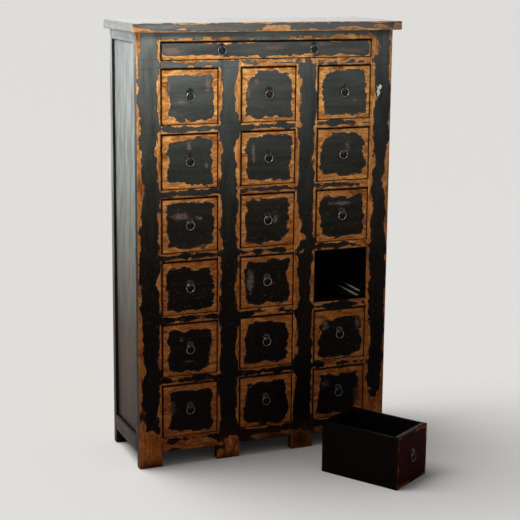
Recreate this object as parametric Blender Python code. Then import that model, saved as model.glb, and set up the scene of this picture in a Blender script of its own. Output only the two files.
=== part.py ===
"""Distressed lacquered apothecary cabinet with ring-pull drawers, one drawer standing on the floor.

Metres, +Z up, the front faces -Y. Pieces are laid out in the cabinet's own layout frame: x from the
left side, y from the front plane into the depth, z from the floor. The layout frame hangs on one
empty that puts the origin at the bottom centre of everything that is modelled.
"""

import math

import bmesh
import bpy
from mathutils import Matrix, Vector

# Body of the cabinet
TOTAL_HEIGHT = 1.450
BODY_WIDTH = 0.888
BODY_DEPTH = 0.299
TOP_THICKNESS = 0.029
TOP_SIDE_OVERHANG = 0.0195
TOP_FRONT_OVERHANG = 0.029
TOP_BACK_OVERHANG = 0.004
TOUCH_GAP = 0.0003

# Face frame: four stiles with feet, and the grid of openings between them
COLUMNS = 3
ROWS = 6
STILE_WIDTH = 0.0785
STILE_THICKNESS = 0.028
FIRST_OPENING_TOP = 1.3069
ROW_PITCH = 0.2063
OPENING_HEIGHT = 0.1766
WIDE_OPENING_BOTTOM = 1.333
WIDE_OPENING_TOP = 1.390
SKIRT_BOTTOM = 0.0493
RAIL_SETBACK = 0.001
EDGE_WEAR_RADIUS = 0.0015

# Framed sides and the back
SIDE_THICKNESS = 0.026
SIDE_UPRIGHT_END = 0.038
SIDE_TOP_RAIL_BOTTOM = 1.388
SIDE_BOTTOM_RAIL_TOP = 0.103
PANEL_RECESS = 0.0085
PANEL_THICKNESS = 0.008
REAR_POST_WIDTH = 0.040
REAR_POST_FRONT = 0.273
BACK_PANEL_FRONT = 0.287
BACK_PANEL_THICKNESS = 0.009

# Runner frames between the rows
RAIL_DEPTH = 0.045
RUNNER_THICKNESS = 0.012
RUNNER_REACH = 0.030
REAR_RAIL_FRONT = 0.248
GUIDE_HEIGHT = 0.016

# Drawers
SIDE_CLEARANCE = 0.002
TOP_CLEARANCE = 0.0026
BOTTOM_CLEARANCE = 0.0006
DRAWER_LENGTH = 0.284
FRONT_THICKNESS = 0.018
WALL_THICKNESS = 0.011
DRAWER_BOTTOM = 0.008
WIDE_PULLS_X = (0.281, 0.601)
WIDE_WALL_THICKNESS = 0.012

# Ring pulls
RING_RADIUS = 0.0137
RING_WIRE_RADIUS = 0.0018
RING_SEGMENTS = 18
WIRE_SEGMENTS = 6
PIVOT_STANDOFF = 0.0056
EYE_RADIUS = 0.0045
EYE_WIRE_RADIUS = 0.0012
EYE_LIFT = 0.0012
ROSETTE_THICKNESS = 0.0016
ROSETTE_RADIUS = 0.0125
WIDE_ROSETTE_RADIUS = 0.0095
ROSETTE_SIDES = 16

# The drawer that was taken out: where its front left bottom corner stands, and how it is turned
EMPTY_ROW = 4
EMPTY_COLUMN = 3
FLOOR_DRAWER_CORNER = Vector((0.703, -0.464, 0.0))
FLOOR_DRAWER_TURN = math.radians(32.3)

OPENING_WIDTH = (BODY_WIDTH - (COLUMNS + 1) * STILE_WIDTH) / COLUMNS
BODY_TOP = TOTAL_HEIGHT - TOP_THICKNESS
DRAWER_WIDTH = OPENING_WIDTH - 2 * SIDE_CLEARANCE
DRAWER_HEIGHT = OPENING_HEIGHT - TOP_CLEARANCE - BOTTOM_CLEARANCE
WIDE_WIDTH = BODY_WIDTH - 2 * STILE_WIDTH - 2 * SIDE_CLEARANCE
WIDE_HEIGHT = WIDE_OPENING_TOP - WIDE_OPENING_BOTTOM - TOP_CLEARANCE - BOTTOM_CLEARANCE
LAYOUT_ORIGIN = Vector((
    -BODY_WIDTH / 2,
    -(BODY_DEPTH + TOP_BACK_OVERHANG + FLOOR_DRAWER_CORNER.y) / 2,
    0.0,
))

LACQUER = {"colour": (0.035, 0.044, 0.045), "roughness": 0.42, "metallic": 0.0}
WORN_WOOD = {"colour": (0.42, 0.17, 0.045), "roughness": 0.55, "metallic": 0.0}
BARE_WOOD = {"colour": (0.30, 0.20, 0.12), "roughness": 0.7, "metallic": 0.0}
DARK_WOOD = {"colour": (0.050, 0.026, 0.016), "roughness": 0.65, "metallic": 0.0}
IRON = {"colour": (0.09, 0.09, 0.085), "roughness": 0.45, "metallic": 0.85}


def clear_scene():
    """Remove the objects that a new scene starts with."""
    for obj in list(bpy.data.objects):
        bpy.data.objects.remove(obj, do_unlink=True)


def stile_left(column):
    """Left edge of the stile to the left of a column; column COLUMNS + 1 gives the last stile."""
    return (column - 1) * (STILE_WIDTH + OPENING_WIDTH)


def opening_left(column):
    """Left edge of a column's openings."""
    return stile_left(column) + STILE_WIDTH


def opening_bottom(row):
    """Lower edge of a row's openings."""
    return FIRST_OPENING_TOP - (row - 1) * ROW_PITCH - OPENING_HEIGHT


def paint(obj, look):
    """Give an object a material of its own."""
    material = bpy.data.materials.new(obj.name + "_material")
    material.use_nodes = True
    shader = material.node_tree.nodes["Principled BSDF"]
    shader.inputs["Base Color"].default_value = (*look["colour"], 1.0)
    shader.inputs["Roughness"].default_value = look["roughness"]
    shader.inputs["Metallic"].default_value = look["metallic"]
    obj.data.materials.append(material)


def add_object(name, mesh, look=None, parent=None, location=(0.0, 0.0, 0.0), turn=0.0):
    """Link an object into the scene, under its parent."""
    obj = bpy.data.objects.new(name, mesh)
    bpy.context.scene.collection.objects.link(obj)
    obj.parent = parent
    obj.location = location
    obj.rotation_euler.z = turn
    if look:
        paint(obj, look)
    return obj


def block_mesh(name, solids, cuts=()):
    """One closed mesh of the boxes in solids, less the boxes in cuts; a box is (low, high).

    The boxes' faces divide space into cells. A wall is made wherever a full cell meets an empty one.
    """
    planes = []
    for axis in range(3):
        values = {round(corner[axis], 6) for box in (*solids, *cuts) for corner in box}
        planes.append(sorted(values))
    counts = [len(values) - 1 for values in planes]

    def inside(point, box):
        return all(box[0][axis] < point[axis] < box[1][axis] for axis in range(3))

    def full(cell):
        if any(not 0 <= cell[axis] < counts[axis] for axis in range(3)):
            return False
        point = [(planes[axis][cell[axis]] + planes[axis][cell[axis] + 1]) / 2 for axis in range(3)]
        return any(inside(point, box) for box in solids) and not any(inside(point, box) for box in cuts)

    bm = bmesh.new()
    corners = {}

    def corner(index):
        if index not in corners:
            corners[index] = bm.verts.new([planes[axis][index[axis]] for axis in range(3)])
        return corners[index]

    cells = [(i, j, k) for i in range(counts[0]) for j in range(counts[1]) for k in range(counts[2])]
    for cell in filter(full, cells):
        for axis in range(3):
            for side in (0, 1):
                neighbour = list(cell)
                neighbour[axis] += 2 * side - 1
                if full(tuple(neighbour)):
                    continue
                ring = []
                for u, v in ((0, 0), (1, 0), (1, 1), (0, 1)):
                    index = list(cell)
                    index[axis] += side
                    index[(axis + 1) % 3] += u
                    index[(axis + 2) % 3] += v
                    ring.append(corner(tuple(index)))
                bm.faces.new(ring if side else ring[::-1])
    bmesh.ops.dissolve_limit(bm, angle_limit=math.radians(1), verts=bm.verts, edges=bm.edges)
    mesh = bpy.data.meshes.new(name)
    bm.to_mesh(mesh)
    bm.free()
    return mesh


def soften(obj, width=EDGE_WEAR_RADIUS):
    """Round the edges that hands and dusters have worn."""
    bevel = obj.modifiers.new("worn_edges", "BEVEL")
    bevel.width = width
    bevel.segments = 1
    bevel.limit_method = "ANGLE"


def ring_mesh(name, radius, wire_radius, segments, wire_segments):
    """A ring of round wire lying in the XZ plane, centred on the origin."""
    bm = bmesh.new()
    sections = []
    for step in range(segments):
        around = 2 * math.pi * step / segments
        outward = Vector((math.sin(around), 0.0, math.cos(around)))
        section = []
        for part in range(wire_segments):
            turn = 2 * math.pi * part / wire_segments
            reach = radius + wire_radius * math.cos(turn)
            section.append(bm.verts.new(outward * reach + Vector((0.0, wire_radius * math.sin(turn), 0.0))))
        sections.append(section)
    for step in range(segments):
        here = sections[step]
        ahead = sections[(step + 1) % segments]
        for part in range(wire_segments):
            beside = (part + 1) % wire_segments
            bm.faces.new((here[part], here[beside], ahead[beside], ahead[part]))
    bmesh.ops.recalc_face_normals(bm, faces=bm.faces)
    mesh = bpy.data.meshes.new(name)
    bm.to_mesh(mesh)
    bm.free()
    mesh.shade_smooth()
    return mesh


def rosette_mesh(name, radius):
    """A thin round plate whose axis is Y, from just behind the drawer front's face to its own front."""
    bm = bmesh.new()
    bmesh.ops.create_cone(
        bm, cap_ends=True, segments=ROSETTE_SIDES, radius1=radius, radius2=radius * 0.88,
        depth=2 * ROSETTE_THICKNESS,
    )
    bmesh.ops.rotate(bm, verts=bm.verts, cent=(0.0, 0.0, 0.0), matrix=Matrix.Rotation(math.pi / 2, 3, "X"))
    mesh = bpy.data.meshes.new(name)
    bm.to_mesh(mesh)
    bm.free()
    return mesh


def joined(body, extras):
    """The mesh of a body united with each extra shape; all of them are used up."""
    for extra in extras:
        union = body.modifiers.new(extra.name, "BOOLEAN")
        union.operation = "UNION"
        union.solver = "EXACT"
        union.object = extra
    bpy.context.view_layer.update()
    evaluated = body.evaluated_get(bpy.context.evaluated_depsgraph_get())
    mesh = bpy.data.meshes.new_from_object(evaluated)
    for obj in (body, *extras):
        bpy.data.objects.remove(obj, do_unlink=True)
    return mesh


def drawer_mesh(name, width, height, wall, pulls, rosette_radius):
    """An open-topped drawer with a rosette and an eye on its front for each pull.

    Its origin is at the middle of the front's lower edge; pulls holds each pivot's (x, z).
    """
    half = width / 2
    box = ((-half, 0.0, 0.0), (half, DRAWER_LENGTH, height))
    hollow = (
        (-half + wall, FRONT_THICKNESS, DRAWER_BOTTOM),
        (half - wall, DRAWER_LENGTH - wall, height + wall),
    )
    body = add_object(name, block_mesh(name, [box], [hollow]))
    extras = []
    for x, z in pulls:
        centre = Vector((x, -PIVOT_STANDOFF, z + EYE_LIFT))
        plate = add_object("rosette", rosette_mesh("rosette", rosette_radius), location=(x, 0.0, centre.z))
        eye_shape = ring_mesh("eye", EYE_RADIUS, EYE_WIRE_RADIUS, ROSETTE_SIDES, WIRE_SEGMENTS)
        eye = add_object("eye", eye_shape, location=centre, turn=math.pi / 2)
        extras += [plate, eye]
    return joined(body, extras)


def make_top(root):
    low = (-TOP_SIDE_OVERHANG, -TOP_FRONT_OVERHANG, BODY_TOP)
    high = (BODY_WIDTH + TOP_SIDE_OVERHANG, BODY_DEPTH + TOP_BACK_OVERHANG, TOTAL_HEIGHT)
    top = add_object("top_board", block_mesh("top_board", [(low, high)]), LACQUER, root)
    soften(top, 2 * EDGE_WEAR_RADIUS)


def make_stiles(root):
    """Four front stiles that run down to the floor as feet; the middle two end under the wide drawer."""
    for column in range(1, COLUMNS + 2):
        outer = column in (1, COLUMNS + 1)
        top = BODY_TOP - TOUCH_GAP if outer else WIDE_OPENING_BOTTOM
        left = stile_left(column)
        box = ((left, 0.0, 0.0), (left + STILE_WIDTH, STILE_THICKNESS, top))
        name = f"front_stile_{column}"
        stile = add_object(name, block_mesh(name, [box]), LACQUER, root)
        soften(stile)


def mirrored(box, side):
    """A box of the left side, or its mirror image on the right side."""
    if side == "left":
        return box
    (low_x, *low), (high_x, *high) = box
    return (BODY_WIDTH - high_x, *low), (BODY_WIDTH - low_x, *high)


def make_sides(root):
    """Each side: an upright and two rails in one frame, a rear post with its foot, and a recessed panel."""
    start = STILE_THICKNESS + TOUCH_GAP
    end = REAR_POST_FRONT - TOUCH_GAP
    top = BODY_TOP - TOUCH_GAP
    frame = ((0.0, start, SKIRT_BOTTOM), (SIDE_THICKNESS, end, top))
    gap = ((-1.0, SIDE_UPRIGHT_END, SIDE_BOTTOM_RAIL_TOP), (1.0, 1.0, SIDE_TOP_RAIL_BOTTOM))
    post = ((0.0, REAR_POST_FRONT, 0.0), (REAR_POST_WIDTH, BODY_DEPTH, top))
    panel = (
        (PANEL_RECESS, SIDE_UPRIGHT_END + TOUCH_GAP, SIDE_BOTTOM_RAIL_TOP + TOUCH_GAP),
        (PANEL_RECESS + PANEL_THICKNESS, end, SIDE_TOP_RAIL_BOTTOM - TOUCH_GAP),
    )
    for side in ("left", "right"):
        pieces = {
            f"side_frame_{side}": ([frame], [gap]),
            f"rear_post_{side}": ([post], []),
            f"side_panel_{side}": ([panel], []),
        }
        for name, (solids, cuts) in pieces.items():
            own_solids = [mirrored(box, side) for box in solids]
            own_cuts = [mirrored(box, side) for box in cuts]
            add_object(name, block_mesh(name, own_solids, own_cuts), LACQUER, root)


def make_back(root):
    inset = REAR_POST_WIDTH + TOUCH_GAP
    low = (inset, BACK_PANEL_FRONT, SKIRT_BOTTOM)
    high = (BODY_WIDTH - inset, BACK_PANEL_FRONT + BACK_PANEL_THICKNESS, BODY_TOP - TOUCH_GAP)
    add_object("back_panel", block_mesh("back_panel", [(low, high)]), BARE_WOOD, root)


def make_top_rail(root):
    inset = STILE_WIDTH + TOUCH_GAP
    low = (inset, RAIL_SETBACK, WIDE_OPENING_TOP)
    high = (BODY_WIDTH - inset, STILE_THICKNESS, BODY_TOP - TOUCH_GAP)
    add_object("top_rail", block_mesh("top_rail", [(low, high)]), LACQUER, root)


def make_runner_frame(root, name, rail_bottom, top, guided):
    """A front rail between the stiles, with runners, guides and a rear rail behind it.

    guided lists the stiles that carry a guide strip for the drawers on both sides.
    """
    start = STILE_THICKNESS + TOUCH_GAP
    end = REAR_POST_FRONT - TOUCH_GAP
    left = SIDE_THICKNESS + TOUCH_GAP
    right = BODY_WIDTH - left
    under = top - RUNNER_THICKNESS
    solids = [
        ((left, start, under), (right, RAIL_DEPTH, top)),
        ((left, REAR_RAIL_FRONT, under), (right, end, top)),
    ]
    for column in range(1, COLUMNS + 1):
        low_x = opening_left(column) + TOUCH_GAP
        high_x = opening_left(column) + OPENING_WIDTH - TOUCH_GAP
        solids.append(((low_x, RAIL_SETBACK, rail_bottom), (high_x, RAIL_DEPTH, top)))
    for column in range(1, COLUMNS + 2):
        stile = stile_left(column)
        low_x = max(left, stile - RUNNER_REACH)
        high_x = min(right, stile + STILE_WIDTH + RUNNER_REACH)
        solids.append(((low_x, start, under), (high_x, end, top)))
        if column in guided:
            low_x = max(left, stile)
            high_x = min(right, stile + STILE_WIDTH)
            solids.append(((low_x, start, under), (high_x, end, top + GUIDE_HEIGHT)))
    add_object(name, block_mesh(name, solids), DARK_WOOD, root)


def make_runner_frames(root):
    outer_stiles = (1, COLUMNS + 1)
    every_stile = range(1, COLUMNS + 2)
    make_runner_frame(root, "runner_frame_0", FIRST_OPENING_TOP, WIDE_OPENING_BOTTOM, outer_stiles)
    for row in range(1, ROWS + 1):
        top = opening_bottom(row)
        bottom = SKIRT_BOTTOM if row == ROWS else top - ROW_PITCH + OPENING_HEIGHT
        make_runner_frame(root, f"runner_frame_{row}", bottom, top, every_stile)


def make_ring(name, drawer, mesh, x, z):
    """A ring pull; its origin is on the pivot, and it hangs straight down."""
    add_object(name, mesh, IRON, drawer, (x, -PIVOT_STANDOFF, z))


def make_drawers(root):
    """The grid of square drawers, one of which stands on the floor, and the wide drawer above them."""
    pivot_z = DRAWER_HEIGHT / 2 + RING_RADIUS
    square = drawer_mesh(
        "drawer", DRAWER_WIDTH, DRAWER_HEIGHT, WALL_THICKNESS, [(0.0, pivot_z)], ROSETTE_RADIUS,
    )
    ring = ring_mesh("ring", RING_RADIUS, RING_WIRE_RADIUS, RING_SEGMENTS, WIRE_SEGMENTS)
    ring.transform(Matrix.Translation((0.0, 0.0, -RING_RADIUS)))
    for row in range(1, ROWS + 1):
        for column in range(1, COLUMNS + 1):
            place = Vector((
                opening_left(column) + OPENING_WIDTH / 2, 0.0, opening_bottom(row) + BOTTOM_CLEARANCE,
            ))
            turn = 0.0
            label = f"r{row}_c{column}"
            if (row, column) == (EMPTY_ROW, EMPTY_COLUMN):
                turn = FLOOR_DRAWER_TURN
                half_width = Vector((math.cos(turn), math.sin(turn), 0.0)) * DRAWER_WIDTH / 2
                place = FLOOR_DRAWER_CORNER + half_width
                label = "floor"
            drawer = add_object(f"drawer_{label}", square.copy(), LACQUER, root, place, turn)
            make_ring(f"ring_{label}", drawer, ring.copy(), 0.0, pivot_z)

    pivot_z = WIDE_HEIGHT / 2 + RING_RADIUS
    pulls = [(x - BODY_WIDTH / 2, pivot_z) for x in WIDE_PULLS_X]
    wide = drawer_mesh("wide", WIDE_WIDTH, WIDE_HEIGHT, WIDE_WALL_THICKNESS, pulls, WIDE_ROSETTE_RADIUS)
    place = (BODY_WIDTH / 2, 0.0, WIDE_OPENING_BOTTOM + BOTTOM_CLEARANCE)
    drawer = add_object("drawer_wide", wide, LACQUER, root, place)
    for side, (x, z) in zip(("left", "right"), pulls):
        make_ring(f"ring_wide_{side}", drawer, ring.copy(), x, z)


def main():
    clear_scene()
    root = add_object("cabinet_origin", None, location=LAYOUT_ORIGIN)
    make_top(root)
    make_stiles(root)
    make_sides(root)
    make_back(root)
    make_top_rail(root)
    make_runner_frames(root)
    make_drawers(root)


main()
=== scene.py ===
"""The looks of the distressed apothecary cabinet: every board, drawer, pull and its worn black lacquer.

Boards are closed meshes with rounded, slightly uneven arrises. Each board carries seven mesh
attributes that its material can read, so that wear and grain stay put when a drawer slides:
local (position in metres, grain along its first axis), wear (metres inside a worn-through area,
negative under sound lacquer), tone (0 at the floor to 1 at the top, which sets painted light and shade),
rub (0 to 1, a dulled smear), shade_and_dirt (0 to 1, painted shade in gaps, recesses and inside the
cabinet, with some soiling), chalk (0 to 1, pale chips) and gleam (a painted sheen, as a gain on the
front's brightness).
"""
import math

import bpy
import numpy as np
from mathutils import Matrix, Vector, noise


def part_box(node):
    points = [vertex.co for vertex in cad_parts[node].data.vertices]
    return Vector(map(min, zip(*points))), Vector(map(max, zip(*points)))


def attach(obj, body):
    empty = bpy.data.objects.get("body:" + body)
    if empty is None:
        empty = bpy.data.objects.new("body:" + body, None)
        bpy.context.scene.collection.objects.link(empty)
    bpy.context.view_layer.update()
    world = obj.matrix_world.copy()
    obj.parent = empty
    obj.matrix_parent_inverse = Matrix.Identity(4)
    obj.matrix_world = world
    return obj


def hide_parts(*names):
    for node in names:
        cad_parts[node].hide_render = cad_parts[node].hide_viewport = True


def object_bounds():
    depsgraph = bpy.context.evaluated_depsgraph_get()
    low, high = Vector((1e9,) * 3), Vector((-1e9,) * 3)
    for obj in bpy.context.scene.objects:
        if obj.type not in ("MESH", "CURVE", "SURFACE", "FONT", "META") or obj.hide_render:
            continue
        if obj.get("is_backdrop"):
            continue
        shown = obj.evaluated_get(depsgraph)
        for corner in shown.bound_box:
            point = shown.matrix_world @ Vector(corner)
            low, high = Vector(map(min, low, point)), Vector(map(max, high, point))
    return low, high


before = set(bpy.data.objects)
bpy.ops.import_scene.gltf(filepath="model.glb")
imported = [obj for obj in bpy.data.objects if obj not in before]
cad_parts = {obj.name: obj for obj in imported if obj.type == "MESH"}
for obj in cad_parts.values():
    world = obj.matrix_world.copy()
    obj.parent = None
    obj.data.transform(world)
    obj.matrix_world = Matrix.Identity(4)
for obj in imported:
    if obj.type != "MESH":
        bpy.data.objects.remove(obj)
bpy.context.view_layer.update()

# ---- sizes shared with the CAD model
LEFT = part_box("front_stile_1")[0][0]
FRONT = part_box("front_stile_1")[0][1]
ORIGIN = Vector((LEFT, FRONT, 0.0))
BODY_WIDTH = 0.888
TOTAL_HEIGHT = 1.450
STILE_WIDTH = 0.0785
COLUMNS = 3
ROWS = 6
FIRST_OPENING_TOP = 1.3069
ROW_PITCH = 0.2063
OPENING_HEIGHT = 0.1766
OPENING_WIDTH = (BODY_WIDTH - (COLUMNS + 1) * STILE_WIDTH) / COLUMNS
COLUMN_PITCH = STILE_WIDTH + OPENING_WIDTH
WIDE_OPENING = (STILE_WIDTH, BODY_WIDTH - STILE_WIDTH, 1.333, 1.390)
TOUCH = 0.0003
RAIL_SETBACK = 0.001
RAIL_DEPTH = 0.045
RUNNER_THICKNESS = 0.012
RUNNER_REACH = 0.030
RUNNER_START = 0.0453
REAR_RAIL_FRONT = 0.248
RUNNER_END = 0.2727
GUIDE_HEIGHT = 0.016
SIDE_THICKNESS = 0.026
SIDE_START = 0.0283
SIDE_TOP = 1.4207
UPRIGHT_END = 0.038
SIDE_TOP_RAIL_LOW = 1.388
SIDE_BOTTOM_RAIL_HIGH = 0.103
BACK_PLANKS = 4
SKIRT_BOTTOM = 0.0493
SIDE_CLEARANCE = 0.002
TOP_CLEARANCE = 0.0026
BOTTOM_CLEARANCE = 0.0006
DRAWER_WIDTH = OPENING_WIDTH - 2 * SIDE_CLEARANCE
DRAWER_HEIGHT = OPENING_HEIGHT - TOP_CLEARANCE - BOTTOM_CLEARANCE
DRAWER_LENGTH = 0.284
FRONT_THICKNESS = 0.018
WALL = 0.011
WIDE_WALL = 0.012
DRAWER_BOTTOM = 0.008
BODY_DROP = 0.0008
WIDE_WIDTH = BODY_WIDTH - 2 * STILE_WIDTH - 2 * SIDE_CLEARANCE
WIDE_HEIGHT = WIDE_OPENING[3] - WIDE_OPENING[2] - TOP_CLEARANCE - BOTTOM_CLEARANCE
WIDE_PULLS_X = (0.281 - BODY_WIDTH / 2, 0.601 - BODY_WIDTH / 2)
RING_RADIUS = 0.0137
RING_WIRE = 0.0018
PIVOT_STANDOFF = 0.0056
EYE_RADIUS = 0.0045
EYE_WIRE = 0.0012
PLATE_RADIUS = 0.0125
WIDE_PLATE_RADIUS = 0.0095
PLATE_LIFT = 0.0012
FLOOR_CORNER = Vector((0.703, -0.464, 0.0))
FLOOR_TURN = math.radians(32.3)
MM = 0.001

# ---- how wear and tone are laid on
# Every worn area is drawn in by this much
WEAR_TRIM = 0.0012
# The wear of a board that is not worn at all
UNWORN = -0.05
# Wear ends where a face turns into the depth: beyond these depths it falls this steeply
TURN_FADE = 9.0
FRAME_FACE_DEPTH = 0.0032
DRAWER_FACE_DEPTH = 0.0016
# Chips are on the frame's face, down to this depth
CHIP_DEPTH = 0.004
# The wide drawer and the one on the floor take the tone, and with it the painted light and shade, of a
# lower place than their own
WIDE_TONE_DROP = 0.106
FLOOR_TONE_LOW = -0.09
# What lies further than this from the cabinet's sides is inside it
SKIN_DEPTH = 0.0125
# Width of the dark strip along a ledge
LEDGE = 0.0012
# Depth at which the tracks on runners and guides begin to fade into painted shade
TRACK_FADE_START = 0.10
# Painted sheen: how bright the front is from left to right, as the logarithm of a gain at each fraction of
# the width
GLEAM_ACROSS = ((0.0, 0.40), (0.17, 0.32), (0.5, -0.03), (0.83, -0.38), (0.90, -0.45), (0.95, -0.90))
# How much of that gain shows at each tone
GLEAM_STRENGTH = ((0.5, 0.0), (0.62, 0.3), (0.72, 0.85), (0.85, 1.0), (0.975, 1.0), (0.985, 1.35))

# ---- where the lacquer is worn through
# Widths in mm at twelve places round a rectangle, clockwise from its lower left corner:
# corner, two on the left, corner, two on the top, corner, two on the right, corner, two on the bottom.
DRAWER_WEAR = {
    "r1_c1": (23, 25, 22, 18, 17, 22, 13, 17, 18, 17, 12, 13),
    "r1_c2": (15, 18, 17, 26, 12, 10, 22, 13, 15, 14, 18, 12),
    "r1_c3": (24, 18, 13, 29, 12, 13, 20, 18, 12, 17, 13, 13),
    "r2_c1": (22, 20, 20, 26, 17, 12, 18, 22, 20, 18, 10, 15),
    "r2_c2": (23, 15, 15, 22, 12, 10, 14, 12, 15, 17, 15, 18),
    "r2_c3": (24, 13, 17, 29, 13, 13, 28, 18, 12, 22, 17, 22),
    "r3_c1": (22, 15, 13, 18, 8, 12, 18, 18, 17, 26, 12, 15),
    "r3_c2": (18, 15, 15, 22, 13, 20, 22, 18, 18, 32, 13, 12),
    "r3_c3": (22, 15, 13, 20, 20, 22, 22, 13, 13, 18, 12, 15),
    "r4_c1": (20, 17, 13, 22, 13, 25, 18, 17, 15, 20, 12, 12),
    "r4_c2": (26, 15, 13, 17, 10, 10, 15, 22, 17, 20, 13, 13),
    "floor": (8, 4, 3, 6, 3, 4, 6, 5, 5, 12, 9, 7),
    "r5_c1": (28, 17, 15, 18, 18, 17, 24, 22, 22, 29, 13, 15),
    "r5_c2": (24, 17, 17, 20, 15, 15, 17, 15, 20, 23, 15, 18),
    "r5_c3": (18, 15, 22, 33, 29, 22, 23, 15, 13, 17, 10, 12),
    "r6_c1": (24, 29, 30, 20, 13, 15, 18, 18, 18, 20, 15, 17),
    "r6_c2": (18, 15, 17, 23, 17, 15, 18, 15, 15, 17, 10, 13),
    "r6_c3": (20, 17, 18, 24, 18, 18, 20, 18, 29, 31, 15, 15),
    "wide": (16, 6, 4, 3, 1, 0, 2, 3, 4, 7, 8, 8),
}
OPENING_WEAR = {
    "r1_c1": (11, 13, 12, 8, 2, 5, 8, 13, 12, 8, 8, 7),
    "r1_c2": (8, 22, 20, 14, 6, 12, 12, 15, 14, 10, 8, 10),
    "r1_c3": (14, 5, 11, 7, 4, 7, 14, 15, 18, 14, 15, 3),
    "r2_c1": (14, 13, 17, 14, 3, 8, 8, 11, 8, 6, 5, 6),
    "r2_c2": (16, 18, 15, 6, 9, 8, 10, 12, 10, 12, 8, 9),
    "r2_c3": (10, 10, 15, 12, 6, 9, 12, 16, 20, 18, 11, 8),
    "r3_c1": (10, 12, 10, 8, 7, 5, 10, 13, 8, 12, 5, 6),
    "r3_c2": (10, 12, 13, 12, 10, 9, 12, 9, 22, 20, 5, 6),
    "r3_c3": (8, 14, 15, 12, 8, 6, 14, 20, 8, 20, 9, 7),
    "r4_c1": (8, 11, 15, 8, 5, 6, 10, 8, 8, 8, 6, 6),
    "r4_c2": (10, 14, 14, 12, 7, 6, 16, 15, 18, 20, 6, 5),
    "r4_c3": (14, 14, 14, 8, 9, 7, 12, 10, 10, 10, 5, 8),
    "r5_c1": (6, 9, 10, 6, 7, 8, 8, 7, 9, 6, 4, 4),
    "r5_c2": (5, 13, 10, 6, 7, 12, 6, 16, 18, 6, 6, 6),
    "r5_c3": (5, 6, 6, 12, 4, 4, 14, 14, 20, 16, 6, 12),
    "r6_c1": (12, 14, 15, 12, 7, 5, 5, 7, 7, 6, 8, 8),
    "r6_c2": (6, 10, 10, 12, 6, 5, 10, 8, 7, 6, 6, 8),
    "r6_c3": (8, 8, 10, 8, 5, 5, 12, 12, 22, 24, 9, 4),
    "wide": (6, 10, 12, 8, 6, 7, 20, 20, 20, 14, 4, 3),
}
# What is added to those widths, place by place, in the upper and in the lower half of the rows
DRAWER_TRIMS = ((-1, 1, 1, -2, 1, 1, -2, -1, -1, -4, -1, -1), (-4, 1, 1, 2, 6, 6, 0, 0, 0, -4, -4, -4))
OPENING_TRIMS = ((-3, 1, 1, -2, 0, 0, -1, 3, 3, 1, -1, -1), (-3, 0, 0, -3, 1, 1, -2, 3, 3, 1, 2, 2))
# (height in metres, width in mm) of the worn strip along the body's outer front arrises
LEFT_ARRIS = (
    (0.0, 20), (0.13, 14), (0.19, 9), (0.25, 6), (0.33, 20), (0.39, 12), (0.43, 16), (0.53, 8),
    (0.61, 6), (0.69, 3), (0.725, 2), (0.745, 14), (0.80, 9), (0.87, 13), (0.92, 18), (0.955, 20),
    (1.00, 10), (1.05, 8), (1.13, 8), (1.17, 7), (1.20, 3), (1.26, 2), (1.33, 4), (1.36, 15), (1.40, 16),
)
RIGHT_ARRIS = (
    (0.0, 30), (0.14, 26), (0.22, 8), (0.30, 6), (0.39, 7), (0.47, 9), (0.54, 6), (0.62, 4),
    (0.72, 10), (0.78, 14), (0.86, 10), (0.915, 24), (0.97, 16), (1.05, 8), (1.17, 6), (1.27, 7),
    (1.34, 11), (1.38, 10), (1.42, 11),
)
# (distance from the left in metres, width in mm) along the top board's lower and upper front arrises
TOP_STRIP = (
    (-0.02, 15), (0.02, 13), (0.06, 4), (0.09, 3), (0.20, 3), (0.40, 4), (0.55, 3), (0.80, 6), (0.91, 9),
)
TOP_CREST = ((-0.02, 2), (0.1, 0.5), (0.3, 1.5), (0.42, 3), (0.5, 1.5), (0.62, 0.5), (0.8, 2), (0.91, 4))
# Worn patches on the top board's front: centre x and z, then half sizes, in mm of the layout
TOP_PATCHES = (
    (462, 1432, 44, 11), (720, 1427, 50, 7), (830, 1429, 44, 9), (892, 1432, 22, 12), (130, 1428, 24, 5),
    (150, 1449, 60, 3),
)
# Worn patches on the face frame: centre x and z, then half sizes, in mm of the layout
FRAME_PATCHES = (
    (36, 48, 60, 84), (12, 150, 12, 46), (326, 30, 28, 54), (302, 8, 44, 26), (579, 22, 46, 44),
    (830, 90, 66, 64),
    (262, 1400, 52, 6), (392, 1398, 26, 5), (640, 1401, 120, 5), (742, 1396, 40, 8),
    (470, 1324, 70, 5), (640, 1323, 84, 6), (345, 1262, 9, 62), (352, 1312, 14, 12),
    (818, 1362, 22, 36), (250, 56, 60, 9), (486, 60, 80, 10), (700, 60, 70, 10), (176, 66, 92, 19),
    (562, 742, 16, 12), (556, 1112, 13, 8), (872, 912, 12, 28), (556, 690, 13, 5),
)
# Where bare wood has gone dark red-brown, in the same terms
FRAME_STAINS = ((579, 34, 60, 60), (470, 58, 70, 22), (690, 58, 60, 22), (309, 0, 50, 20), (40, 0, 60, 26))
# Chalky chips high on the right stile
CHIPS = ((842, 1233, 13, 12), (840, 1211, 8, 16), (833, 1192, 4, 8))
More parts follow.
